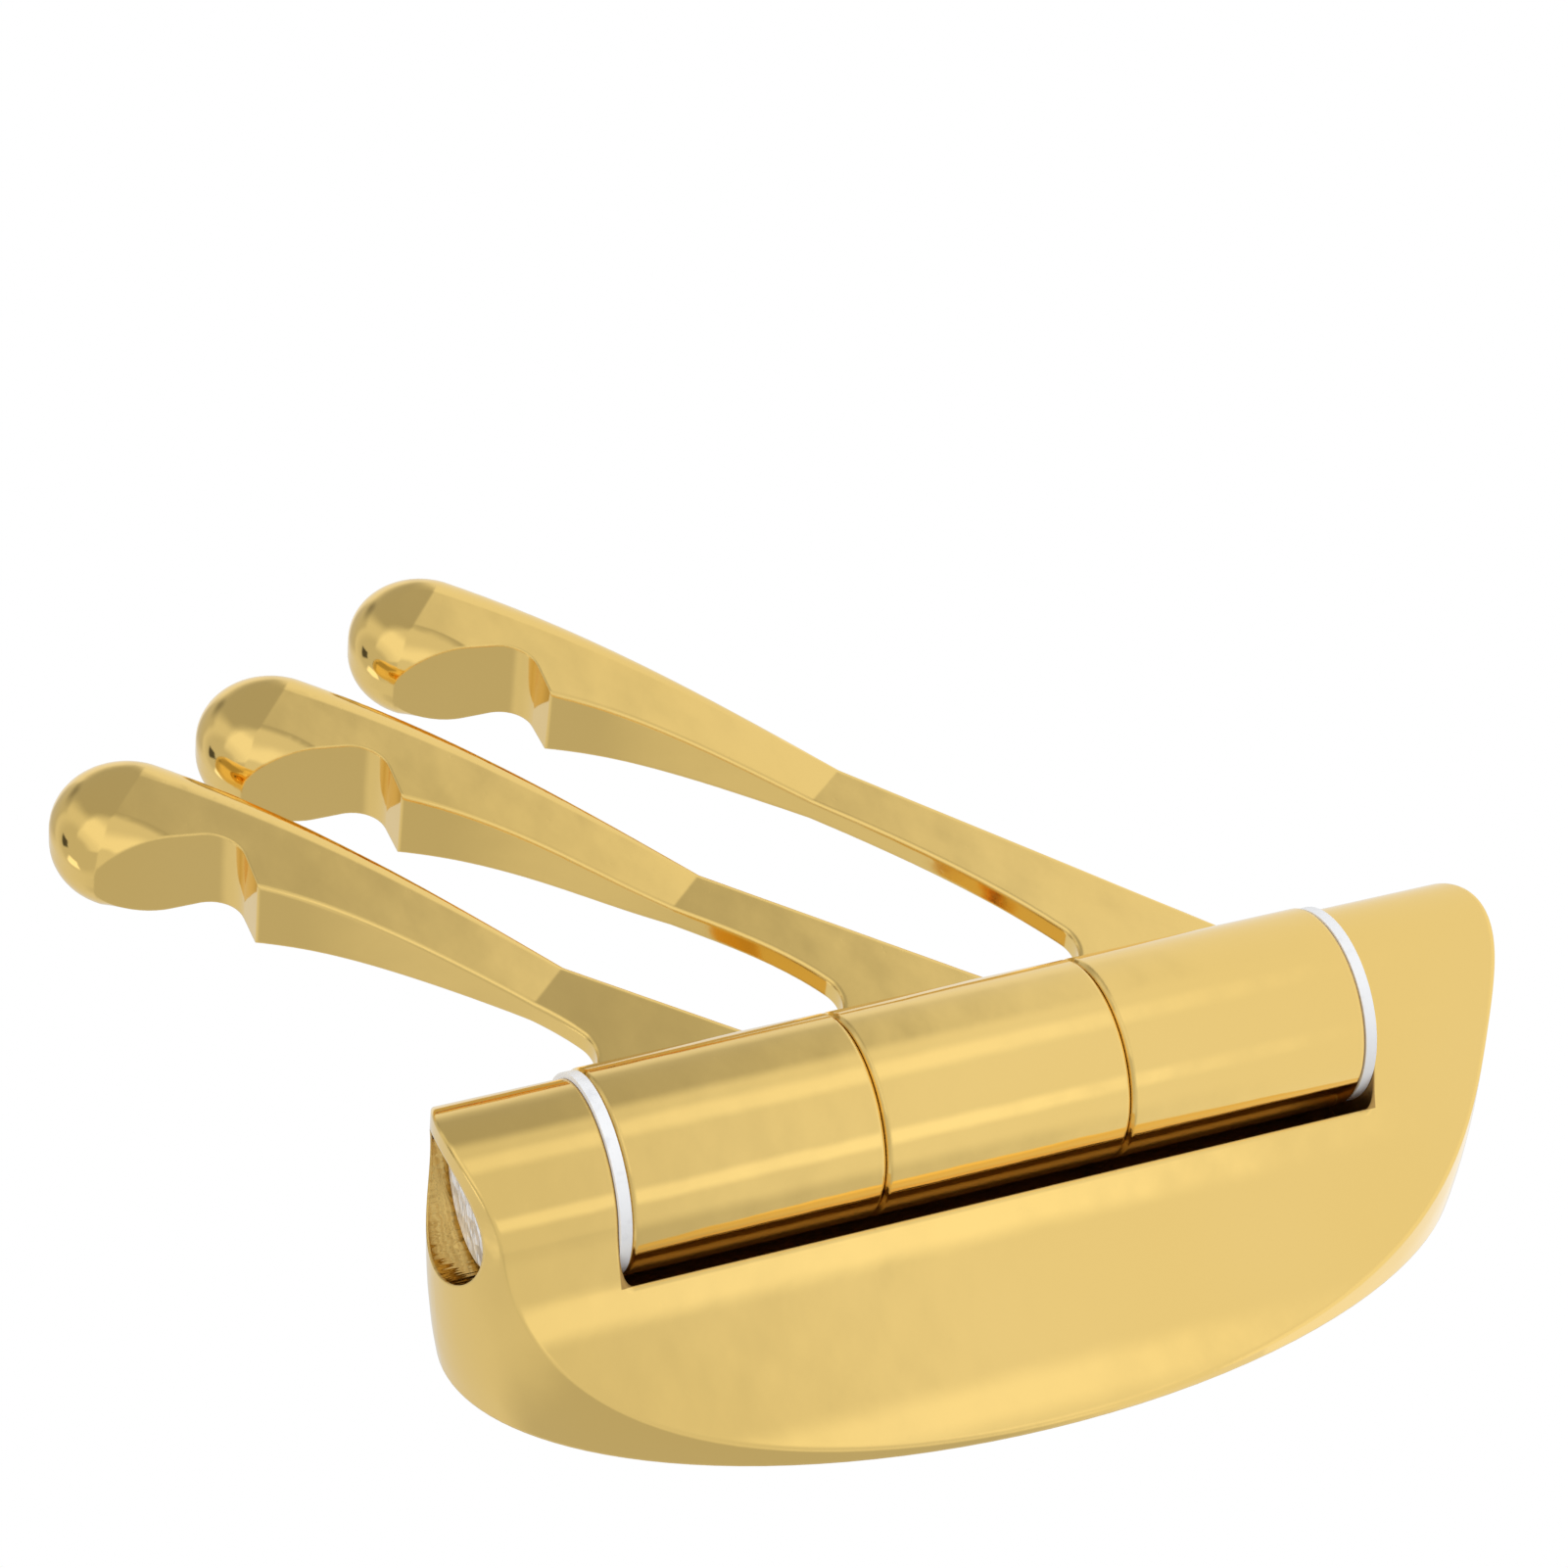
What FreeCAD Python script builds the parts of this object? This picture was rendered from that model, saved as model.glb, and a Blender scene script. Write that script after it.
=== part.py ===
import FreeCAD, Part
import os
import math

# Folding wall hook: three die-cast arms swivel on one pin in an elliptical base, all gold plated.
# Lengths in mm, angles in degrees.
# Frame: X to the right seen from the front, +Y into the wall, Z up as it hangs.
# The origin is on the wall, behind the middle of the three knuckles.

V = FreeCAD.Vector
Y_AXIS = V(0, 1, 0)
Z_AXIS = V(0, 0, 1)

# Hinge stack
AXIS_TO_WALL = 19.5
KNUCKLE_R = 9.55
KNUCKLE_H = 24.4
KNUCKLE_GAP = 0.1
KNUCKLE_EDGE = 0.35
PIN_R = 4.0
PIN_FIT = 0.06
PIN_FOOT = 6.0
PIN_FOOT_GAP = 0.5
PIN_HEAD_R = 6.6
PIN_HEAD_L = 7.5
PIN_HEAD_EDGE = 0.6
PIN_HEAD_GAP = 0.4
SHOULDER_T = 3.0
WASHER_T = 1.1
WASHER_GAP = 0.05
WASHER_LAP = 0.15

# Base casting
OUTLINE_A = 26.6
OUTLINE_B = 52.6
OUTLINE_Z = -0.8
BOSS_R = 8.9
RIM_T = 0.6
RIM_SLOPE = 15.0
RIM_BULGE = 0.9
RIM_LEAN = 0.4
BULGE_RATIO = 0.4
SHELL_T = 2.4
POCKET_SIDE_GAP = 0.85
POCKET_BACK_GAP = 0.9
POCKET_CORNER = 1.0
POCKET_WALL = 2.2
CREASE_R = 0.35

# Steel wall bracket, which the base hangs on, and the grub screw that locks it from below.
# BRACKET_ROOM is what the outline leaves above the bracket, BRACKET_HOLE_END from a hole to its end.
BRACKET_W = 18.0
BRACKET_T = 1.6
BRACKET_BEND_R = 1.2
BRACKET_STANDOFF = 4.0
BRACKET_HOOK = 3.4
BRACKET_HOLE_R = 2.3
BRACKET_SINK_R = 4.2
BRACKET_SINK_T = 1.2
BRACKET_HOLE_END = 12.0
BRACKET_ROOM = 14.8
BRACKET_GAP = 0.2
LUG_W = 10.0
GRUB_R = 2.0
GRUB_L = 7.0
GRUB_FIT = 0.05
GRUB_POINT_R = 1.2
GRUB_POINT_L = 2.4
GRUB_POINT_GAP = 0.15
GRUB_SOCKET_R = 1.1
GRUB_SOCKET_L = 2.2

# Hook arms, drawn in the arm's own plane: r from the pin's axis, z from the knuckle's middle.
# The head is drawn from the sharp corner of its notch and is the same on all three.
REST_ANGLE = 82.0
PLATE_T = 2.4
PLATE_ROUND = 0.6
ROOT_IN_R = 8.2
ROOT_LOW_Z = -9.2
ROOT_TOP_Z = 7.3
ROOT_FILLET = 4.2
ROOT_LAP = 0.2
ROOT_SLOPE = 28.0
SECTION_TALL = 22.0
CREASE_BACK = 15.3
CREASE_DROP = 25.0
NECK_T = 6.4
NECK_ROUND = 2.3
NECK_OUT = 1.8
NECK_DROP = 12.5
JAW_T = 8.4
JAW_ROUND = 3.4
JAW_OUT = 10.7
JAW_DROP = 5.1
JAW_TALL = 16.0
HEAD_R = 7.35
HEAD_T = 10.6
HEAD_ROUND = 4.6
HEAD_OUT = 13.9
HEAD_UP = 8.55
HEAD_ANGLE = -40.0
NOTCH_OUT = 7.5
NOTCH_R = 3.6
EDGE_R = 0.35
BACK_SLOPE = 60.0
BACK_POINTS = ((16.5, 18.2), (8.6, 10.9), (3.4, 5.1))

# Each arm's notch corner: place in the stack, reach from the pin, rise above its knuckle's middle
HOOKS = {
    "hook_top": (1, 39.4, 31.4),
    "hook_middle": (0, 47.4, 39.1),
    "hook_bottom": (-1, 57.4, 44.8),
}

# Worked out from the sizes above
PITCH = KNUCKLE_H + KNUCKLE_GAP
STACK_HALF = PITCH + KNUCKLE_H / 2
POCKET_HALF = STACK_HALF + WASHER_T + 2 * WASHER_GAP
POCKET_X = KNUCKLE_R + POCKET_SIDE_GAP
POCKET_FLOOR = KNUCKLE_R + POCKET_BACK_GAP - AXIS_TO_WALL
FLOOR_BACK = POCKET_FLOOR + POCKET_WALL
CORE_X = POCKET_X + POCKET_WALL
DEPTH = AXIS_TO_WALL + BOSS_R
PIN_BORE_R = PIN_R + PIN_FIT
PIN_HEAD_SEAT = POCKET_HALF + SHOULDER_T
BRACKET_HALF = OUTLINE_B + OUTLINE_Z - BRACKET_ROOM
HOOK_BACK = -BRACKET_T - BRACKET_STANDOFF
GRUB_Y = HOOK_BACK / 2

# How far a cutting body reaches past what it cuts, how near counts as on a line, and how far two
# directions may differ and still be the same
BEYOND = 20.0
NEAR = 0.01
SKEW_ANGLE = 18.0
ALONG = math.cos(math.radians(SKEW_ANGLE))


def cylinder(radius, z_low, z_high):
    """A solid round the hinge axis."""
    return Part.makeCylinder(radius, z_high - z_low, V(0, -AXIS_TO_WALL, z_low), Z_AXIS)


def block(x_half, y_low, y_high, z_low, z_high):
    return Part.makeBox(2 * x_half, y_high - y_low, z_high - z_low, V(-x_half, y_low, z_low))


def one_solid(shape):
    """The single solid that a casting or pressing is."""
    if len(shape.Solids) != 1:
        raise ValueError("expected one solid, got %d" % len(shape.Solids))
    return shape.Solids[0]


def polar(centre, radius, degrees):
    angle = math.radians(degrees)
    return centre + V(radius * math.cos(angle), radius * math.sin(angle), 0)


def edge_middle(edge):
    """Point and direction halfway along an edge."""
    halfway = (edge.FirstParameter + edge.LastParameter) / 2
    return edge.valueAt(halfway), edge.tangentAt(halfway)


# Base

def front_profile(inset):
    """Section of the cast front in the XY plane: half-round boss, hollow flanks that leave it
    tangentially and reach the rim at RIM_SLOPE, straight back. inset moves it in by a wall."""
    slope = math.radians(RIM_SLOPE)
    rim_y = AXIS_TO_WALL - RIM_T
    spread = OUTLINE_A ** 2 + rim_y ** 2 - BOSS_R ** 2
    flank = spread / (2 * (BOSS_R - OUTLINE_A * math.sin(slope) + rim_y * math.cos(slope)))
    from_axis = V(OUTLINE_A + flank * math.sin(slope), rim_y - flank * math.cos(slope), 0)
    centre = from_axis - V(0, AXIS_TO_WALL, 0)
    toward = math.degrees(math.atan2(from_axis.y, from_axis.x))
    boss = BOSS_R - inset
    axis = V(0, -AXIS_TO_WALL, 0)
    tangent = polar(axis, boss, toward)
    end = polar(centre, flank + inset, 90 + RIM_SLOPE)
    middle = polar(centre, flank + inset, (180 + toward + 90 + RIM_SLOPE) / 2)
    wide = OUTLINE_A + BEYOND
    run_out = V(wide, end.y + (wide - end.x) * math.tan(slope), 0)
    back = V(wide, run_out.y + BEYOND, 0)

    def flipped(point):
        return V(-point.x, point.y, 0)

    edges = [
        Part.Arc(flipped(tangent), axis - V(0, boss, 0), tangent).toShape(),
        Part.Arc(tangent, middle, end).toShape(),
        Part.makeLine(end, run_out),
        Part.makeLine(run_out, back),
        Part.makeLine(back, flipped(back)),
        Part.makeLine(flipped(back), flipped(run_out)),
        Part.makeLine(flipped(run_out), flipped(end)),
        Part.Arc(flipped(end), flipped(middle), flipped(tangent)).toShape(),
    ]
    return Part.Face(Part.Wire(edges))


def cast_front(inset):
    """The front section drawn straight from end to end of the base."""
    prism = front_profile(inset).extrude(V(0, 0, 2 * (OUTLINE_B + BEYOND)))
    prism.translate(V(0, 0, OUTLINE_Z - OUTLINE_B - BEYOND))
    return prism


def outline_wire(y, inset):
    """The base's elliptical outline at one depth."""
    centre = V(0, y, OUTLINE_Z)
    high = centre + V(0, 0, OUTLINE_B - inset)
    side = centre + V(OUTLINE_A - inset, 0, 0)
    return Part.Wire([Part.Ellipse(high, side, centre).toShape()])


def outline_body():
    """The slightly bulging side wall, from the wall to just in front of the boss."""
    levels = (
        (0.0, RIM_BULGE),
        (-DEPTH * BULGE_RATIO, 0.0),
        (-DEPTH * (1 + BULGE_RATIO) / 2, RIM_LEAN / 4),
        (-DEPTH - 1, RIM_LEAN),
    )
    return Part.makeLoft([outline_wire(y, inset) for y, inset in levels], True, False)


def pocket():
    """The well that the knuckles turn in, its four corners rounded."""
    well = block(POCKET_X, -DEPTH - BEYOND, POCKET_FLOOR, -POCKET_HALF, POCKET_HALF)
    upright = [edge for edge in well.Edges if abs(edge_middle(edge)[1].y) > ALONG]
    return well.makeFillet(POCKET_CORNER, upright)


def cavity():
    """The hollow back: the casting keeps one wall thickness in front, a rim all round, and a
    solid core round the pocket and the pin's bores."""
    rim = Part.Face(outline_wire(BEYOND, SHELL_T + RIM_BULGE)).extrude(V(0, -DEPTH - 2 * BEYOND, 0))
    core = block(CORE_X, -DEPTH - BEYOND, FLOOR_BACK, -OUTLINE_B - BEYOND, OUTLINE_B + BEYOND)
    return cast_front(SHELL_T).common(rim).cut(core)


def lugs():
    """Two cast lugs in the hollow back: the upper hangs in the bracket's hook, the lower
    carries the grub screw."""
    upper = block(LUG_W / 2, HOOK_BACK + BRACKET_T + BRACKET_GAP, -BRACKET_T - BRACKET_GAP,
                  BRACKET_HALF + BRACKET_GAP, OUTLINE_Z + OUTLINE_B)
    lower = block(LUG_W / 2, FLOOR_BACK - BRACKET_GAP, -BRACKET_GAP,
                  OUTLINE_Z - OUTLINE_B, -BRACKET_HALF - BRACKET_GAP)
    return upper, lower


def grub_hole():
    foot = V(0, GRUB_Y, -BRACKET_HALF - OUTLINE_B)
    return Part.makeCylinder(GRUB_R + GRUB_FIT, OUTLINE_B, foot, Z_AXIS)


def rim_crease(shape):
    """Edges where the front meets the side wall: near the outline, running along it."""
    found = []
    for edge in shape.Edges:
        middle, direction = edge_middle(edge)
        spread = math.hypot(middle.x / OUTLINE_A, (middle.z - OUTLINE_Z) / OUTLINE_B)
        at_outline = spread > 1 - 2 * RIM_BULGE / OUTLINE_A
        if at_outline and abs(direction.y) < ALONG and middle.y < -RIM_T / 2:
            found.append(edge)
    return found


def make_base():
    outer = outline_body()
    body = cast_front(0).common(outer)
    body = body.makeFillet(CREASE_R, rim_crease(body))
    body = body.cut(cavity())
    for lug in lugs():
        body = body.fuse(lug.common(outer))
    body = body.cut(pocket())
    body = body.cut(cylinder(PIN_BORE_R, -POCKET_HALF - PIN_FOOT - PIN_FOOT_GAP, OUTLINE_B))
    body = body.cut(cylinder(PIN_HEAD_R + PIN_HEAD_GAP, PIN_HEAD_SEAT, OUTLINE_B + BEYOND))
    return one_solid(body.cut(grub_hole()))


# Hinge pin, washers

def make_pin():
    """Steel pin, dropped in from the top: its head seats on the shoulder in the upper boss."""
    head_top = PIN_HEAD_SEAT + PIN_HEAD_L
    shank = cylinder(PIN_R, -POCKET_HALF - PIN_FOOT, PIN_HEAD_SEAT + 1)
    head = cylinder(PIN_HEAD_R, PIN_HEAD_SEAT, head_top)
    rim = [edge for edge in head.Edges if edge.Closed and edge.CenterOfMass.z > head_top - NEAR]
    return one_solid(shank.fuse(head.makeFillet(PIN_HEAD_EDGE, rim)))


def make_washer(side):
    """Plastic washer between the stack and one end of the pocket. side is +1 above, -1 below."""
    near = side * (STACK_HALF + WASHER_GAP)
    low = min(near, near + side * WASHER_T)
    ring = cylinder(KNUCKLE_R - WASHER_LAP, low, low + WASHER_T)
    return one_solid(ring.cut(cylinder(PIN_BORE_R, low - 1, low + WASHER_T + 1)))


# Wall bracket and grub screw

def make_bracket():
    """Bent steel strip: back plate on the wall, lower lip forward, upper lip forward and up."""
    half = BRACKET_W / 2
    shelf = BRACKET_HALF - BRACKET_T
    strip = block(half, -BRACKET_T, 0, -BRACKET_HALF, BRACKET_HALF)
    strip = strip.fuse(block(half, HOOK_BACK, 0, -BRACKET_HALF, -shelf))
    strip = strip.fuse(block(half, HOOK_BACK, 0, shelf, BRACKET_HALF))
    strip = strip.fuse(block(half, HOOK_BACK, HOOK_BACK + BRACKET_T, shelf, BRACKET_HALF + BRACKET_HOOK))
    strip = strip.removeSplitter()
    folds = ((0, -BRACKET_HALF), (0, BRACKET_HALF), (HOOK_BACK, shelf))
    bends = []
    for edge in strip.Edges:
        middle, direction = edge_middle(edge)
        at_fold = [fold for fold in folds if math.hypot(middle.y - fold[0], middle.z - fold[1]) < NEAR]
        if at_fold and abs(direction.x) > ALONG:
            bends.append(edge)
    strip = strip.makeFillet(BRACKET_BEND_R, bends)
    for side in (-1, 1):
        foot = V(0, 0, side * (BRACKET_HALF - BRACKET_HOLE_END))
        strip = strip.cut(Part.makeCylinder(BRACKET_HOLE_R, BRACKET_T, foot, -Y_AXIS))
        sink = foot - V(0, BRACKET_T - BRACKET_SINK_T, 0)
        strip = strip.cut(Part.makeCone(BRACKET_HOLE_R, BRACKET_SINK_R, BRACKET_SINK_T, sink, -Y_AXIS))
    foot = V(0, GRUB_Y, -BRACKET_HALF - BRACKET_T)
    return one_solid(strip.cut(Part.makeCylinder(GRUB_POINT_R + GRUB_POINT_GAP, 3 * BRACKET_T, foot, Z_AXIS)))


def make_grub():
    """Grub screw with a hexagon socket; its point enters the bracket's lower lip."""
    top = V(0, GRUB_Y, -BRACKET_HALF - BRACKET_GAP)
    foot = top - V(0, 0, GRUB_L)
    screw = Part.makeCylinder(GRUB_R, GRUB_L, foot, Z_AXIS)
    point = Part.makeCylinder(GRUB_POINT_R, GRUB_POINT_L, top, Z_AXIS)
    flats = [polar(foot, GRUB_SOCKET_R, 60 * turn) for turn in range(7)]
    key = Part.Face(Part.makePolygon(flats)).extrude(V(0, 0, GRUB_SOCKET_L))
    return one_solid(screw.fuse(point).cut(key))


# Hooks

def plane(r, z):
    """A point of the arm's own plane, which is XZ while the arm is built."""
    return V(r, 0, z)


def slanted(degrees):
    angle = math.radians(degrees)
    return V(math.cos(angle), 0, math.sin(angle))


def slope(start, end):
    return math.degrees(math.atan2(end.z - start.z, end.x - start.x))


def section(foot, along, thick, rounding, tall):
    """Cross-section of the arm as a wire with rounded corners. foot is on the lower edge of the
    arm, along is that edge's slope and tall is measured square to it."""
    inward = slanted(along + 90)
    half = thick / 2
    give = rounding * (1 - math.sqrt(0.5))

    def spot(across, deep):
        return foot + inward * deep + Y_AXIS * across

    corners = ((-half, tall), (-half, 0), (half, 0), (half, tall))
    arcs = []
    for index, (across, deep) in enumerate(corners):
        aside = -math.copysign(1, across)
        up = 1 if deep == 0 else -1
        level = spot(across + aside * rounding, deep)
        upright = spot(across, deep + up * rounding)
        first, last = (level, upright) if index % 2 == 0 else (upright, level)
        arcs.append((first, spot(across + aside * give, deep + up * give), last))
    edges = []
    for index, arc in enumerate(arcs):
        edges.append(Part.Arc(*arc).toShape())
        edges.append(Part.makeLine(arc[2], arcs[(index + 1) % len(arcs)][0]))
    return Part.Wire(edges)


def head_end(centre):
    """The rounded end: the head's section swung half a turn round the middle of the head."""
    outward = slanted(HEAD_ANGLE)
    half = HEAD_T / 2
    flat = half - HEAD_ROUND
    core = HEAD_R - HEAD_ROUND
    give = HEAD_ROUND * math.sqrt(0.5)

    def spot(out, across):
        return centre + outward * out + Y_AXIS * across

    edges = [
        Part.makeLine(spot(0, -half), spot(core, -half)),
        Part.Arc(spot(core, -half), spot(core + give, -flat - give), spot(HEAD_R, -flat)).toShape(),
        Part.makeLine(spot(HEAD_R, -flat), spot(HEAD_R, flat)),
        Part.Arc(spot(HEAD_R, flat), spot(core + give, flat + give), spot(core, half)).toShape(),
        Part.makeLine(spot(core, half), spot(0, half)),
        Part.makeLine(spot(0, half), spot(0, -half)),
    ]
    return Part.Face(Part.Wire(edges)).revolve(centre, -Y_AXIS, 180)


def arm_body(corner):
    """Thin root plate, then the part that flares toward the head, then the rounded end."""
    root = plane(KNUCKLE_R, ROOT_LOW_Z)
    crease = corner - plane(CREASE_BACK, CREASE_DROP)
    neck = corner + plane(NECK_OUT, -NECK_DROP)
    jaw = corner + plane(JAW_OUT, -JAW_DROP)
    centre = corner + plane(HEAD_OUT, HEAD_UP)
    tip = centre + slanted(HEAD_ANGLE) * HEAD_R
    rise = slope(root, crease)
    crease_slope = (rise + slope(crease, neck)) / 2
    neck_slope = (slope(crease, neck) + slope(neck, jaw)) / 2
    tip_slope = HEAD_ANGLE + 90
    jaw_slope = (slope(neck, jaw) + tip_slope) / 2
    root_in = root - slanted(rise) * (KNUCKLE_R - ROOT_IN_R)
    start = section(root_in, rise, PLATE_T, PLATE_ROUND, SECTION_TALL)
    fold = section(crease, crease_slope, PLATE_T, PLATE_ROUND, SECTION_TALL)
    waist = section(neck, neck_slope, NECK_T, NECK_ROUND, SECTION_TALL)
    shoulder = section(jaw, jaw_slope, JAW_T, JAW_ROUND, JAW_TALL)
    last = section(tip, tip_slope, HEAD_T, HEAD_ROUND, 2 * HEAD_R)
    root_plate = Part.makeLoft([start, fold], True, True)
    flare = Part.makeLoft([fold, waist, shoulder, last], True, False)
    return root_plate.fuse(flare).fuse(head_end(centre))


def root_fillet():
    """Middle of the fillet between knuckle and arm, and the point where the arm's back begins."""
    middle = plane(KNUCKLE_R + ROOT_FILLET - ROOT_LAP, ROOT_TOP_Z + ROOT_FILLET)
    return middle, middle + slanted(ROOT_SLOPE - 90) * ROOT_FILLET


def back_curve(corner):
    """Upper edge of the arm seen from the side, from the root's fillet to the notch corner."""
    points = [root_fillet()[1]] + [corner - plane(r, z) for r, z in BACK_POINTS] + [corner]
    back = Part.BSplineCurve()
    back.interpolate(Points=points, InitialTangent=slanted(ROOT_SLOPE), FinalTangent=slanted(BACK_SLOPE))
    return back.toShape()


def arm_outline(corner):
    """Side view of the arm as a prism: it cuts the notch, the upper edge and the root's fillet,
    and stays clear of the lower edge and the rounded end, which arm_body shapes."""
    centre = corner + plane(HEAD_OUT, HEAD_UP)
    clear = HEAD_R * 1.5
    turn_end = HEAD_ANGLE + 180
    crown = centre + slanted(turn_end) * HEAD_R
    outside = centre + slanted(turn_end) * clear
    notch_low = corner + plane(NOTCH_OUT - NOTCH_R, 0)
    notch_wall = corner + plane(NOTCH_OUT, NOTCH_R)
    notch_turn = corner + plane(NOTCH_OUT, 0) + plane(-NOTCH_R, NOTCH_R) * (1 - math.sqrt(0.5))
    fillet_mid, fillet_end = root_fillet()
    fillet_half = fillet_mid + slanted((180 + ROOT_SLOPE + 270) / 2) * ROOT_FILLET
    fillet_top = fillet_mid - plane(ROOT_FILLET, 0)
    root_top = plane(ROOT_IN_R, fillet_mid.z)
    root_low = plane(ROOT_IN_R, KNUCKLE_EDGE - KNUCKLE_H / 2)
    below = plane(KNUCKLE_R, -KNUCKLE_H)
    below_head = plane(centre.x + clear, -KNUCKLE_H)
    above_head = plane(centre.x + clear, centre.z + clear)
    above_crown = plane(outside.x, centre.z + clear)
    corners = [root_top, root_low, below, below_head, above_head, above_crown, outside, crown, notch_wall]
    edges = [Part.makeLine(first, second) for first, second in zip(corners, corners[1:])]
    edges += [
        Part.Arc(notch_wall, notch_turn, notch_low).toShape(),
        Part.makeLine(notch_low, corner),
        back_curve(corner),
        Part.Arc(fillet_end, fillet_half, fillet_top).toShape(),
        Part.makeLine(fillet_top, root_top),
    ]
    face = Part.Face(Part.Wire(Part.__sortEdges__(edges)))
    face.translate(V(0, -HEAD_T, 0))
    return face.extrude(V(0, 2 * HEAD_T, 0))


def upper_edges(arm, corner):
    """Both edges of the arm's back, and the notch corner."""
    back = back_curve(corner)
    found = []
    for edge in arm.Edges:
        middle, direction = edge_middle(edge)
        seen = plane(middle.x, middle.z)
        on_back = Part.Vertex(seen).distToShape(back)[0] < NEAR
        if (seen - corner).Length < NEAR or (on_back and abs(direction.y) < ALONG):
            found.append(edge)
    return found


def make_hook(level, reach, rise):
    """Knuckle and arm, one casting, swung to the rest angle."""
    corner = plane(reach, rise)
    arm = one_solid(arm_body(corner).common(arm_outline(corner)))
    arm = arm.makeFillet(EDGE_R, upper_edges(arm, corner))
    knuckle = Part.makeCylinder(KNUCKLE_R, KNUCKLE_H, V(0, 0, -KNUCKLE_H / 2), Z_AXIS)
    knuckle = knuckle.makeChamfer(KNUCKLE_EDGE, [edge for edge in knuckle.Edges if edge.Closed])
    bore = Part.makeCylinder(PIN_BORE_R, 2 * KNUCKLE_H, V(0, 0, -KNUCKLE_H), Z_AXIS)
    hook = one_solid(knuckle.fuse(arm).cut(bore))
    hook.rotate(V(0, 0, 0), Z_AXIS, REST_ANGLE - 90)
    hook.translate(V(0, -AXIS_TO_WALL, level * PITCH))
    return hook


def build():
    parts = {
        "base": make_base(),
        "hinge_pin": make_pin(),
        "washer_top": make_washer(1),
        "washer_bottom": make_washer(-1),
        "wall_bracket": make_bracket(),
        "grub_screw": make_grub(),
    }
    for name, (level, reach, rise) in HOOKS.items():
        parts[name] = make_hook(level, reach, rise)
    return parts


os.makedirs("parts", exist_ok=True)
for name, solid in build().items():
    if not solid.isValid():
        raise ValueError("%s is not a valid solid" % name)
    solid.exportStep("parts/%s.step" % name)
    print("%-14s volume %9.1f mm3" % (name, solid.Volume))
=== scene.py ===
"""Folding wall hook: finishes, stage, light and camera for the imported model.

Lengths are in metres. The frame is the wall's: X to the right seen from the front, +Y into the
wall, Z up, origin on the wall behind the middle of the three knuckles.
"""
import math

import bmesh
import bpy
from bpy.props import FloatProperty, FloatVectorProperty, PointerProperty
from mathutils import Matrix, Vector


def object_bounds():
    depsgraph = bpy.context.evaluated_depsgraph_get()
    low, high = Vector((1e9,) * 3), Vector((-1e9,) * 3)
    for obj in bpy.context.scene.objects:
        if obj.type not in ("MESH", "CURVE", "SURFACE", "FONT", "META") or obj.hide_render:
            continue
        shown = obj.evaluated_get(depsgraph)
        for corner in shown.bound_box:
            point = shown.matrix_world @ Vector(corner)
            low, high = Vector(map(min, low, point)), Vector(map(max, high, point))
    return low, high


bl_info = {
    "name": "Folding wall hook",
    "version": (1, 0, 0),
    "blender": (4, 5, 0),
    "location": "3D View > Sidebar > Wall hook",
    "description": "Plating, pin, washers, bracket and stage of a folding wall hook",
    "category": "Object",
}

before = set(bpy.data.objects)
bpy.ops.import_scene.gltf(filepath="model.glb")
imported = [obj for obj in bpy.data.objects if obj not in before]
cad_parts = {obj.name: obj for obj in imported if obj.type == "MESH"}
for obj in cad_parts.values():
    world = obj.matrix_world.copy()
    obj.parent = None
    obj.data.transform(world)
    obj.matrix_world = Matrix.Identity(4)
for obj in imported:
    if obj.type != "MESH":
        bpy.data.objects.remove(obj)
CAD_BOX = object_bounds()

HOOKS = ("hook_top", "hook_middle", "hook_bottom")
WASHERS = ("washer_top", "washer_bottom")

# What polished metal sees of the studio, on top of a plain pale tent, in degrees: azimuth from
# straight out of the wall toward +X, half-width of the full panel and of where it has faded out,
# the elevations where it starts, is full, starts to fade and has faded out, and how much brighter
# or darker than the tent it is.
PANELS = (
    (0.0, 180.0, 181.0, -92.0, -91.0, -22.0, -15.0, 0.17),
    (-83.0, 3.0, 12.0, -27.0, -21.0, -2.0, 12.0, 0.26),
    (-8.0, 3.0, 15.0, -27.0, -21.0, -12.0, -2.0, 0.20),
    (-20.0, 32.0, 44.0, 6.0, 24.0, 58.0, 74.0, 0.28),
    (48.0, 20.0, 36.0, -25.5, -18.5, 15.0, 36.0, -0.33),
    (95.0, 20.0, 36.0, -20.0, -14.0, 2.0, 10.0, 0.18),
    (90.0, 22.0, 36.0, 6.0, 14.0, 36.0, 46.0, -0.20),
    (-150.0, 22.0, 42.0, -26.0, -20.0, 32.0, 48.0, -0.22),
    (0.0, 180.0, 181.0, 42.0, 60.0, 91.0, 92.0, -0.16),
    (164.0, 12.0, 18.0, 50.0, 54.0, 64.0, 68.0, 0.75),
    (105.0, 14.0, 20.0, 58.0, 63.0, 72.0, 76.0, -0.60),
)

# Sizes of the marks in the finishes
SMEAR_SIZE = 0.011
TONE_SIZE = 0.024
RIPPLE_SIZE = 0.006
WAVE_SIZE = 0.0016
PIT_SIZE = 0.0006
CAST_GRAIN = 0.0005
DRAWN_MARK = 0.0011
CRUSHED_FACET = 0.0018
SCRATCH_SIZE = 0.0012
BRUSH_MARK = 0.0007
SPANGLE_SIZE = 0.007
WORN_SPOT = 0.0006
MOULD_GRAIN = 0.0004
DUST_SPOT = 0.002

# Heights of the relief that the finishes have
CAST_HEIGHT = 0.00005
DRAWN_HEIGHT = 0.0002
FACET_HEIGHT = 0.0006
SCRATCH_HEIGHT = 0.0002
BRUSH_HEIGHT = 0.00002
MOULD_HEIGHT = 0.00001

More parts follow.
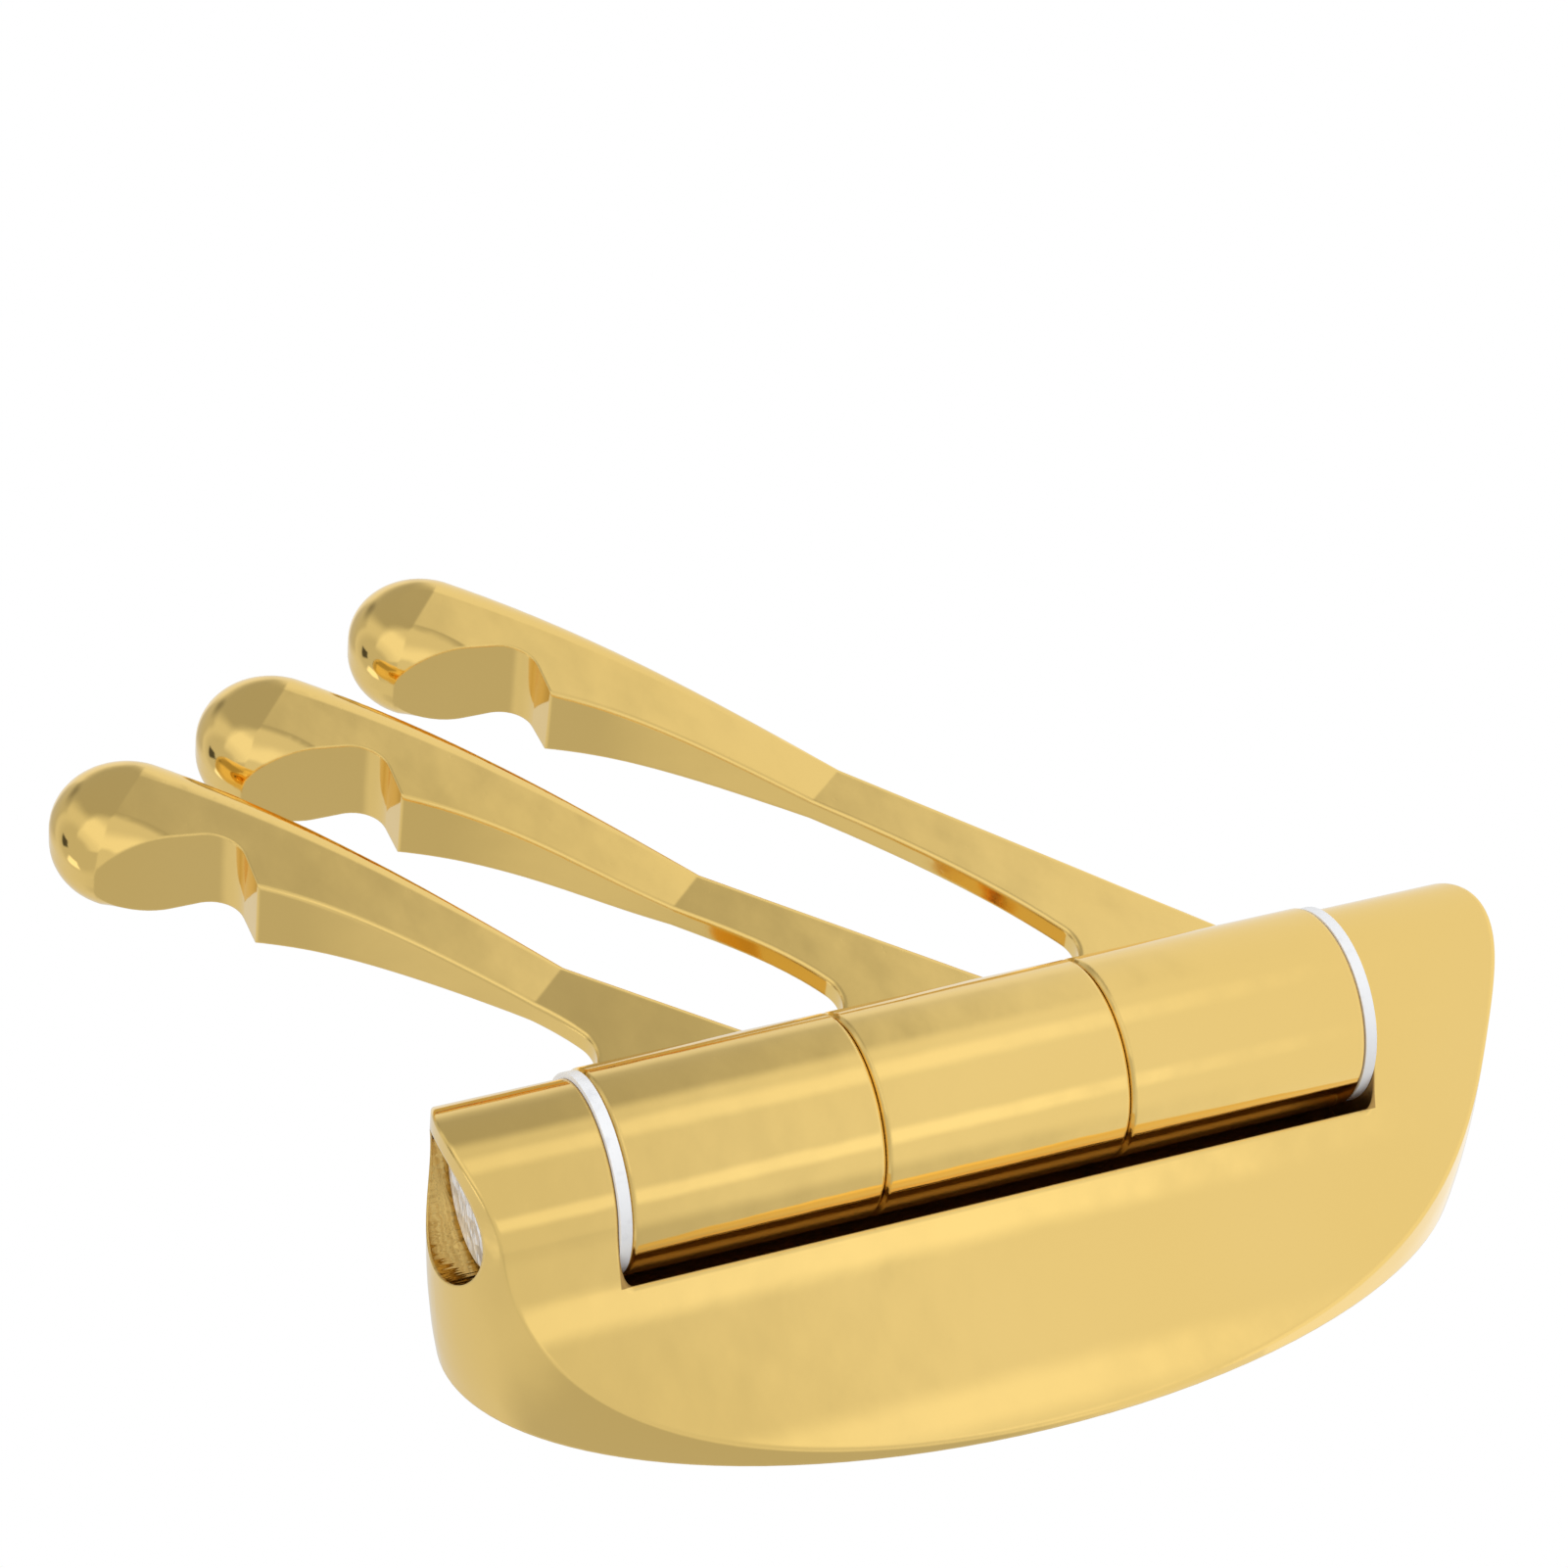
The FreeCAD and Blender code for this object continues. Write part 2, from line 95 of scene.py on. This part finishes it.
# How the coordinates are scaled for marks that are longer one way: the smaller, the longer
SMEARED_DOWN = (1.0, 1.0, 0.35)
DRAWN_DOWN = (1.0, 1.0, 0.12)
BRUSHED_DOWN = (1.0, 1.0, 0.06)
CRUSHED_ACROSS = (5.0, 1.0, 1.0)

# Sockets of the colour Mix node
MIX_FACTOR, MIX_FIRST, MIX_SECOND, MIX_RESULT = 0, 6, 7, 2

FLOOR_CORNERS = 96
LAMP_AIM = (0.02, -0.02, 0.01)
SENSOR_MM = 36.0
CLIP_START = 0.01
CLIP_END = 100.0


# Shader maths

class Wire:
    """A node's output that takes part in arithmetic."""

    def __init__(self, tree, socket):
        self.tree = tree
        self.socket = socket

    def math(self, operation, *values):
        node = self.tree.nodes.new("ShaderNodeMath")
        node.operation = operation
        for slot, value in zip(node.inputs, values):
            if isinstance(value, Wire):
                self.tree.links.new(value.socket, slot)
            else:
                slot.default_value = value
        return Wire(self.tree, node.outputs[0])

    def __add__(self, other):
        return self.math("ADD", self, other)

    def __sub__(self, other):
        return self.math("SUBTRACT", self, other)

    def __rsub__(self, other):
        return self.math("SUBTRACT", other, self)

    def __mul__(self, other):
        return self.math("MULTIPLY", self, other)

    def __abs__(self):
        return self.math("ABSOLUTE", self)


class Tree:
    """The nodes of one material or of the world."""

    def __init__(self, tree):
        self.tree = tree
        tree.nodes.clear()

    def add(self, kind, settings=None, inputs=None, output=0):
        """One node: its settings first, then the values or links of its sockets."""
        node = self.tree.nodes.new(kind)
        for key, value in (settings or {}).items():
            setattr(node, key, value)
        for key, value in (inputs or {}).items():
            if isinstance(value, Wire):
                self.tree.links.new(value.socket, node.inputs[key])
            else:
                node.inputs[key].default_value = value
        return Wire(self.tree, node.outputs[output]) if node.outputs else node

    def place(self):
        return self.add("ShaderNodeTexCoord", output="Object")

    def part(self, vector, axis):
        return self.add("ShaderNodeSeparateXYZ", None, {"Vector": vector}, axis)

    def stretched(self, scale):
        """Object coordinates drawn out along an axis, for grain and brush marks."""
        return self.add("ShaderNodeMapping", None, {"Vector": self.place(), "Scale": scale})

    def cloud(self, size, detail=2.0, vector=None):
        """Soft noise from 0 to 1 whose spots are about size across."""
        inputs = {"Vector": vector or self.place(), "Scale": 1.0 / size, "Detail": detail}
        inputs["Roughness"] = 0.5
        return self.add("ShaderNodeTexNoise", {"noise_dimensions": "3D"}, inputs, "Fac")

    def smooth(self, value, low, high, bottom=0.0, top=1.0):
        """From bottom to top, with soft ends, as value goes from low to high."""
        inputs = {"Value": value, "From Min": low, "From Max": high, "To Min": bottom, "To Max": top}
        return self.add("ShaderNodeMapRange", {"interpolation_type": "SMOOTHSTEP"}, inputs)

    def within(self, value, limit):
        """1 where value is no more than limit, 0 a little beyond."""
        return self.smooth(value, limit * 1.005, limit * 1.001)

    def blend(self, factor, first, second):
        """The second colour over the first, by factor. A colour is three numbers or a link."""
        inputs = {MIX_FACTOR: factor}
        for slot, colour in ((MIX_FIRST, first), (MIX_SECOND, second)):
            inputs[slot] = colour if isinstance(colour, Wire) else (*colour, 1.0)
        return self.add("ShaderNodeMix", {"data_type": "RGBA"}, inputs, MIX_RESULT)

    def bump(self, height, edge=0.0):
        """Relief of height metres, and edges that look rounded to a radius of edge."""
        inputs = {"Height": height, "Distance": 1.0}
        if edge:
            inputs["Normal"] = self.add("ShaderNodeBevel", {"samples": 6}, {"Radius": edge})
        return self.add("ShaderNodeBump", None, inputs)


def new_material(name):
    material = bpy.data.materials.new(name)
    material.use_nodes = True
    return material, Tree(material.node_tree)


def surface(tree, **sockets):
    """A Principled shader with the named sockets, spaces written as underscores."""
    inputs = {key.replace("_", " "): value for key, value in sockets.items()}
    shader = tree.add("ShaderNodeBsdfPrincipled", None, inputs)
    tree.add("ShaderNodeOutputMaterial", None, {"Surface": shader})


def wear(node, material):
    """The material takes the place of the node's own."""
    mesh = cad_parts[node].data
    mesh.materials.clear()
    mesh.materials.append(material)


# Finishes

def gold_plating(look, name, base):
    """Mirror-bright plating over a polished casting: slow ripple and finer waves from polishing,
    a few pits, slight smears. On the base, the side toward the wall and the pocket are left as
    cast, where no polishing wheel reaches, and the bores have marks drawn along them. The pocket,
    and the bores more weakly, get a darker brown colour that is painted shade."""
    material, tree = new_material(name)
    smear = tree.smooth(tree.cloud(SMEAR_SIZE, 3.0, tree.stretched(SMEARED_DOWN)), 0.45, 0.75)
    tone = tree.cloud(TONE_SIZE, 1.0)
    pits = tree.smooth(tree.cloud(PIT_SIZE, 2.0), 0.30, 0.24)
    waves = tree.cloud(RIPPLE_SIZE, 1.0) * look.ripple + tree.cloud(WAVE_SIZE, 1.0) * look.wave
    height = waves - pits * look.pit
    rough = smear * look.smear + look.roughness
    colour = tree.blend(tone, look.colour, look.deep_colour)
    edge = look.edge
    if base:
        back = tree.smooth(tree.part(tree.add("ShaderNodeTexCoord", output="Normal"), "Y"), 0.55, 0.8)
        across = tree.part(tree.place(), "X")
        out = tree.part(tree.place(), "Y") + look.axis_out
        along = tree.part(tree.place(), "Z")
        pocket = tree.within(abs(across), look.pocket_x) * tree.within(abs(along), look.pocket_z)
        cast = back.math("MAXIMUM", back, pocket)
        grain = tree.cloud(CAST_GRAIN, 3.0)
        rough = rough * (1 - cast) + (grain * 0.12 + 0.34) * cast
        drawn = tree.within(across * across + out * out, look.bore ** 2) * (1 - pocket)
        marks = tree.cloud(DRAWN_MARK, 2.0, tree.stretched(DRAWN_DOWN))
        height = height + grain * cast * CAST_HEIGHT + marks * drawn * DRAWN_HEIGHT
        # Painted shade: the pocket fully, and the bores by 0.3, are darkened toward a brown colour
        colour = tree.blend(drawn * 0.3 + pocket, colour, look.pocket_shade_colour)
        edge = look.base_edge
    surface(tree, Base_Color=colour, Metallic=1.0, Roughness=rough, Normal=tree.bump(height, edge))
    return material


def pin_steel(look):
    """Sheared and crushed steel end: bright facets with dark scratches between them."""
    material, tree = new_material("pin_steel")
    facets = {"Vector": tree.place(), "Scale": 1.0 / CRUSHED_FACET}
    crush = tree.add("ShaderNodeTexVoronoi", None, facets, "Distance")
    scratch = tree.cloud(SCRATCH_SIZE, 4.0, tree.stretched(CRUSHED_ACROSS))
    colour = tree.blend(tree.smooth(scratch, 0.50, 0.72), look.bright_colour, look.dark_colour)
    height = crush * FACET_HEIGHT + scratch * SCRATCH_HEIGHT
    surface(tree, Base_Color=colour, Metallic=0.55, Roughness=scratch * 0.25 + look.roughness,
            Normal=tree.bump(height, look.edge))
    return material


def bracket_steel(look):
    """Zinc-plated strip: brushed along its length, faintly spangled."""
    material, tree = new_material("bracket_steel")
    brush = tree.cloud(BRUSH_MARK, 3.0, tree.stretched(BRUSHED_DOWN))
    colour = tree.blend(tree.cloud(SPANGLE_SIZE, 1.0), look.colour, look.dark_colour)
    surface(tree, Base_Color=colour, Metallic=1.0, Roughness=brush * 0.14 + look.roughness,
            Normal=tree.bump(brush * BRUSH_HEIGHT, look.edge))
    return material


def thread_steel(look):
    """Blackened grub screw: its thread is relief, with the plating worn off the crests."""
    material, tree = new_material("thread_steel")
    turn = tree.part(tree.place(), "Z") * (math.tau / look.thread_pitch)
    crest = turn.math("SINE", turn) * 0.5 + 0.5
    worn = tree.smooth(crest + tree.cloud(WORN_SPOT, 3.0) * 0.4, 0.95, 1.2)
    colour = tree.blend(worn, look.black_colour, look.dark_colour)
    surface(tree, Base_Color=colour, Metallic=1.0, Roughness=look.roughness,
            Normal=tree.bump(crest * look.thread_depth))
    return material


def washer_plastic(look):
    """Opaque white washer with the faint grain of a moulding tool."""
    material, tree = new_material("washer_plastic")
    grain = tree.cloud(MOULD_GRAIN, 2.0)
    dust = tree.smooth(tree.cloud(DUST_SPOT, 3.0), 0.55, 0.8)
    surface(tree, Base_Color=tree.blend(dust, look.colour, look.dust_colour),
            Roughness=grain * 0.08 + look.roughness, Normal=tree.bump(grain * MOULD_HEIGHT))
    return material


# Sizes and colours a user would change

def tint(name, description, colour):
    return FloatVectorProperty(name=name, description=description, subtype="COLOR", size=3,
                               min=0, max=1, default=colour)


def share(name, description, value):
    return FloatProperty(name=name, description=description, subtype="FACTOR", min=0, max=1,
                         default=value)


def length(name, description, value, smallest=0.0):
    return FloatProperty(name=name, description=description, subtype="DISTANCE", unit="LENGTH",
                         precision=6, min=smallest, default=value)


def angle(name, description, degrees):
    return FloatProperty(name=name, description=description, subtype="ANGLE", unit="ROTATION",
                         default=math.radians(degrees))


def spot(name, description, place):
    return FloatVectorProperty(name=name, description=description, subtype="TRANSLATION",
                               unit="LENGTH", size=3, precision=5, default=place)


class WallHookGold(bpy.types.PropertyGroup):
    colour: tint("Plating", "Colour of the plating where it is brightest", (0.95, 0.685, 0.245))
    deep_colour: tint("Deep plating", "Plating where it is a little thicker", (0.92, 0.65, 0.205))
    roughness: share("Roughness", "Roughness of the polished plating", 0.06)
    smear: share("Smears", "How much rougher the plating is where it is smeared", 0.05)
    ripple: length("Ripple", "Height of the slow ripple that polishing leaves", 0.00006)
    wave: length("Waves", "Height of the finer waves in the polish", 0.000005)
    pit: length("Pits", "Depth of pits in the plating", 0.0000012)
    edge: length("Edges", "Radius to which the edges of the hooks look rounded", 0.00035)
    base_edge: length("Base edges", "Radius to which the edges of the base look rounded", 0.0004)
    # Painted shade: the brown laid into the pocket, and more weakly into the bores
    pocket_shade_colour: tint("Cast colour", "Thin plating in the pocket", (0.50, 0.31, 0.10))
    axis_out: length("Axis out", "Distance of the hinge's axis from the wall", 0.0195)
    pocket_x: length("Pocket across", "Half the width inside which the base isn't polished", 0.0104)
    pocket_z: length("Pocket height", "Half the height inside which the base isn't polished", 0.0379)
    bore: length("Bore", "Radius about the axis inside which the bore has drawn marks", 0.007)


class WallHookSteel(bpy.types.PropertyGroup):
    colour: tint("Steel", "Zinc-plated steel", (0.80, 0.80, 0.81))
    bright_colour: tint("Bright steel", "Steel where it was sheared", (0.97, 0.97, 0.98))
    dark_colour: tint("Dark steel", "Steel in scratches and dull spots", (0.55, 0.55, 0.57))
    black_colour: tint("Blackened steel", "Steel of the grub screw", (0.06, 0.06, 0.065))
    roughness: share("Roughness", "Roughness of the steel", 0.24)
    edge: length("Edges", "Radius to which the edges look rounded", 0.0002)
    thread_pitch: length("Thread pitch", "Pitch of the grub screw's thread", 0.0007, 0.0003)
    thread_depth: length("Thread depth", "Depth of the grub screw's thread", 0.00025)


class WallHookPlastic(bpy.types.PropertyGroup):
    colour: tint("Plastic", "White of the washers", (0.90, 0.91, 0.93))
    dust_colour: tint("Dull spots", "Where the washers are a little dull", (0.78, 0.79, 0.82))
    roughness: share("Roughness", "Roughness of the washers", 0.32)


class WallHookStage(bpy.types.PropertyGroup):
    floor_drop: length("Floor below", "How far the floor lies under the hook", 0.75)
    floor_radius: length("Floor", "Radius of the round floor", 1.1, 0.1)
    floor_colour: tint("Floor colour", "Pale floor", (0.82, 0.82, 0.82))
    floor_white: share("Floor white", "Share of plain white in the floor near the hook", 0.85)
    tent: FloatProperty(name="Tent", description="Level of the light that comes from all round",
                        min=0, default=0.68)
    mirror_white: share("White in metal", "Share of the plain white background that polished metal shows", 0.15)
    lamp_power: FloatProperty(name="Lamp", description="Power of the soft lamp", subtype="POWER",
                              unit="POWER", min=0, default=4.5)
    lamp_size: length("Lamp size", "Side of the soft lamp", 0.8, 0.01)
    lamp_place: spot("Lamp place", "Where the soft lamp stands", (-0.15, -0.75, 0.62))
    camera_place: spot("Camera place", "Where the camera stands", (-0.278875, -0.277580, 0.150320))
    camera_turn: angle("Camera turn", "Turn of the view from straight into the wall", 51.856)
    camera_dip: angle("Camera dip", "How far the view dips below level", 20.099)
    camera_roll: angle("Camera roll", "Roll of the camera about its own view", -101.42)
    lens: FloatProperty(name="Lens", description="Focal length on a 36 mm frame, in millimetres",
                        min=10, default=101.353)


# Operators

class DressBase(bpy.types.Operator):
    """Give the base casting its plating, and leave its back as cast"""
    bl_idname = "wall_hook.dress_base"
    bl_label = "Plate the base"

    def execute(self, context):
        wear("base", gold_plating(context.scene.wall_hook_gold, "gold_plating_base", True))
        return {"FINISHED"}


class DressHooks(bpy.types.Operator):
    """Give the three hooks their plating"""
    bl_idname = "wall_hook.dress_hooks"
    bl_label = "Plate the hooks"

    def execute(self, context):
        material = gold_plating(context.scene.wall_hook_gold, "gold_plating", False)
        for node in HOOKS:
            wear(node, material)
        return {"FINISHED"}


class DressPin(bpy.types.Operator):
    """Give the hinge pin its rough steel"""
    bl_idname = "wall_hook.dress_pin"
    bl_label = "Finish the pin"

    def execute(self, context):
        wear("hinge_pin", pin_steel(context.scene.wall_hook_steel))
        return {"FINISHED"}


class DressWashers(bpy.types.Operator):
    """Give the two washers their white plastic"""
    bl_idname = "wall_hook.dress_washers"
    bl_label = "Finish the washers"

    def execute(self, context):
        material = washer_plastic(context.scene.wall_hook_plastic)
        for node in WASHERS:
            wear(node, material)
        return {"FINISHED"}


class DressFixings(bpy.types.Operator):
    """Give the wall bracket its zinc plating and the grub screw its blackened thread"""
    bl_idname = "wall_hook.dress_fixings"
    bl_label = "Finish the bracket and its screw"

    def execute(self, context):
        wear("wall_bracket", bracket_steel(context.scene.wall_hook_steel))
        wear("grub_screw", thread_steel(context.scene.wall_hook_steel))
        return {"FINISHED"}


class SetStage(bpy.types.Operator):
    """Lay the floor and set the tent of light, the lamp and the camera"""
    bl_idname = "wall_hook.set_stage"
    bl_label = "Set the stage"

    def execute(self, context):
        look = context.scene.wall_hook_stage
        self.lay_floor(context, look)
        self.light_tent(context, look)
        self.hang_lamp(context, look)
        self.place_camera(context, look)
        context.scene.view_settings.view_transform = "Standard"
        return {"FINISHED"}

    def shown(self, tree, in_metal):
        """1 where the surroundings show as plain white background, in_metal where metal shows them."""
        rays = [tree.add("ShaderNodeLightPath", output=name)
                for name in ("Is Camera Ray", "Is Transmission Ray", "Is Glossy Ray")]
        return rays[0] + rays[1] + rays[2] * in_metal

    def lay_floor(self, context, look):
        mesh = bpy.data.meshes.new("floor")
        build = bmesh.new()
        bmesh.ops.create_circle(build, cap_ends=True, segments=FLOOR_CORNERS, radius=look.floor_radius)
        bmesh.ops.translate(build, verts=build.verts, vec=(0, 0, CAD_BOX[0][2] - look.floor_drop))
        build.to_mesh(mesh)
        build.free()
        floor = bpy.data.objects.new("floor", mesh)
        context.collection.objects.link(floor)
        material, tree = new_material("floor_pale")
        across = tree.add("ShaderNodeVectorMath", {"operation": "MULTIPLY"}, {0: tree.place(), 1: (1, 1, 0)})
        away = tree.add("ShaderNodeVectorMath", {"operation": "LENGTH"}, {0: across}, "Value")
        near, far = look.floor_radius * 0.4, look.floor_radius * 0.95
        fade = tree.smooth(away, near, far, look.floor_white, 1.0)
        matt = tree.add("ShaderNodeBsdfDiffuse", None, {"Color": (*look.floor_colour, 1.0)})
        white = tree.add("ShaderNodeEmission", None, {"Color": (1, 1, 1, 1), "Strength": 1.0})
        inputs = {0: self.shown(tree, 1.0) * fade, 1: matt, 2: white}
        mixed = tree.add("ShaderNodeMixShader", None, inputs)
        tree.add("ShaderNodeOutputMaterial", None, {"Surface": mixed})
        mesh.materials.append(material)

    def light_tent(self, context, look):
        world = bpy.data.worlds.new("tent")
        world.use_nodes = True
        context.scene.world = world
        tree = Tree(world.node_tree)
        toward = tree.add("ShaderNodeTexCoord", output="Generated")
        outward = tree.part(toward, "Y") * -1.0
        azimuth = outward.math("ARCTAN2", tree.part(toward, "X"), outward) * math.degrees(1)
        elevation = outward.math("ARCSINE", tree.part(toward, "Z")) * math.degrees(1)
        level = look.tent
        for turn, full_turn, end_turn, bottom, foot, head, top, strength in PANELS:
            aside = 180 - abs(180 - abs(azimuth - turn))
            lit = tree.smooth(aside, end_turn, full_turn) * tree.smooth(elevation, bottom, foot)
            level = lit * tree.smooth(elevation, top, head) * strength + level
        white = self.shown(tree, look.mirror_white)
        strength = level * (1 - white) + white
        inputs = {"Color": (1, 1, 1, 1), "Strength": strength}
        background = tree.add("ShaderNodeBackground", None, inputs)
        tree.add("ShaderNodeOutputWorld", None, {"Surface": background})

    def hang_lamp(self, context, look):
        lamp = bpy.data.lights.new("soft_lamp", "AREA")
        lamp.shape = "SQUARE"
        lamp.size = look.lamp_size
        lamp.energy = look.lamp_power
        holder = bpy.data.objects.new("soft_lamp", lamp)
        holder.visible_glossy = False
        aim = Vector(LAMP_AIM) - Vector(look.lamp_place)
        turned = aim.to_track_quat("-Z", "Y").to_matrix().to_4x4()
        holder.matrix_world = Matrix.Translation(look.lamp_place) @ turned
        context.collection.objects.link(holder)

    def place_camera(self, context, look):
        camera = bpy.data.cameras.new("photo_camera")
        camera.sensor_fit = "HORIZONTAL"
        camera.sensor_width = SENSOR_MM
        camera.lens = look.lens
        camera.clip_start = CLIP_START
        camera.clip_end = CLIP_END
        holder = bpy.data.objects.new("photo_camera", camera)
        turn = Matrix.Rotation(-look.camera_turn, 4, "Z")
        dip = Matrix.Rotation(math.radians(90) - look.camera_dip, 4, "X")
        roll = Matrix.Rotation(look.camera_roll, 4, "Z")
        holder.matrix_world = Matrix.Translation(look.camera_place) @ turn @ dip @ roll
        context.collection.objects.link(holder)
        context.scene.camera = holder


class WallHookPanel(bpy.types.Panel):
    """The pieces, their finishes and the stage"""
    bl_idname = "VIEW3D_PT_wall_hook"
    bl_label = "Wall hook"
    bl_space_type = "VIEW_3D"
    bl_region_type = "UI"
    bl_category = "Wall hook"

    def draw(self, context):
        for operator in OPERATORS:
            self.layout.operator(operator.bl_idname)
        for name in LOOKS:
            box = self.layout.box()
            look = getattr(context.scene, name)
            for field in look.__annotations__:
                box.prop(look, field)


LOOKS = {
    "wall_hook_gold": WallHookGold,
    "wall_hook_steel": WallHookSteel,
    "wall_hook_plastic": WallHookPlastic,
    "wall_hook_stage": WallHookStage,
}
OPERATORS = (DressBase, DressHooks, DressPin, DressWashers, DressFixings, SetStage)


def register():
    for kind in (*LOOKS.values(), *OPERATORS, WallHookPanel):
        bpy.utils.register_class(kind)
    for name, look in LOOKS.items():
        setattr(bpy.types.Scene, name, PointerProperty(type=look))


def unregister():
    for name in LOOKS:
        delattr(bpy.types.Scene, name)
    for kind in (WallHookPanel, *reversed(OPERATORS), *LOOKS.values()):
        bpy.utils.unregister_class(kind)


def main():
    register()
    bpy.ops.wall_hook.dress_base()
    bpy.ops.wall_hook.dress_hooks()
    bpy.ops.wall_hook.dress_pin()
    bpy.ops.wall_hook.dress_washers()
    bpy.ops.wall_hook.dress_fixings()
    bpy.ops.wall_hook.set_stage()


if __name__ == "__main__":
    main()
